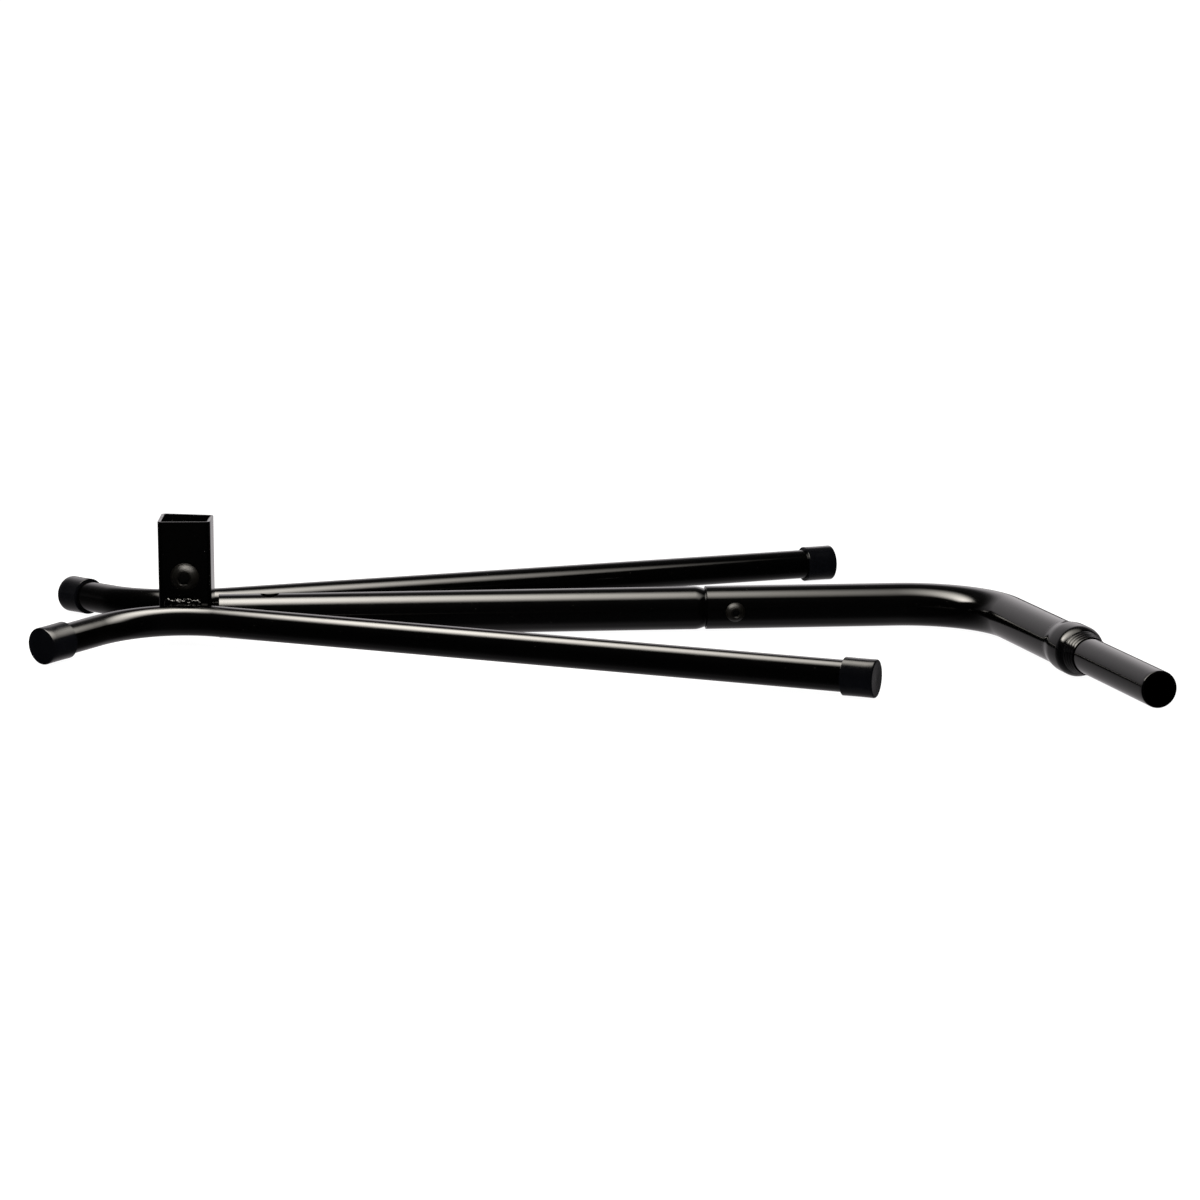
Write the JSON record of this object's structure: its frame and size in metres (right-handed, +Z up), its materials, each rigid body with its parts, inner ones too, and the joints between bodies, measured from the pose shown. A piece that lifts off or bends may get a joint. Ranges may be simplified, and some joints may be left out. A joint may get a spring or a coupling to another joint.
{
  "type": "tubular floor stand",
  "caption": "Knock-down tubular floor stand laid out flat: welded base of two bent legs with a square socket, and a loose bent mast whose thin tip tube turns in a collar.",
  "frame": {"origin": "on the floor, below the middle of the whole laid-out lot", "axes": "+X along the base from the socket towards the tip, +Z up from the floor, +Y away from the arm"},
  "size_m": [0.7847, 0.515, 0.0883],
  "materials": {
    "black_powder_coat": "gloss",
    "black_rubber": "satin",
    "black_plastic": "gloss",
    "black_oxide_steel": "satin",
    "zinc_steel": "satin",
    "white_nylon": "matte"
  },
  "bodies": {
    "base": {"leg_front": "black_powder_coat", "leg_rear": "black_powder_coat", "cap_front_short": "black_rubber", "cap_front_long": "black_rubber", "cap_rear_short": "black_rubber", "cap_rear_long": "black_rubber", "socket_tube": "black_powder_coat", "weld_front": "black_powder_coat", "weld_rear": "black_powder_coat", "socket_bolt": "black_oxide_steel", "socket_washer": "zinc_steel", "socket_nut": "zinc_steel", "socket_nut_insert": "white_nylon"},
    "mast": {"mast_lower_tube": "black_powder_coat", "mast_upper_tube": "black_powder_coat", "joint_bolt": "black_oxide_steel", "joint_saddle_washer": "zinc_steel", "joint_nut": "zinc_steel", "joint_nut_insert": "white_nylon", "collar_bush": "black_plastic", "guide_bush": "white_nylon"},
    "tip": {"tip_tube": "black_powder_coat", "retaining_ring": "zinc_steel"}
  },
  "joints": [
    {"name": "mast_lift", "type": "slide", "parent": "base", "child": "mast", "axis": [0, 0, 1], "range_m": [0, 0.12]},
    {"name": "tip_turn", "type": "hinge", "parent": "mast", "child": "tip", "pos_m": [0.35014, -0.14067, 0.01828], "axis": [0.2571, -0.9663, 0.0113], "continuous": true}
  ]
}
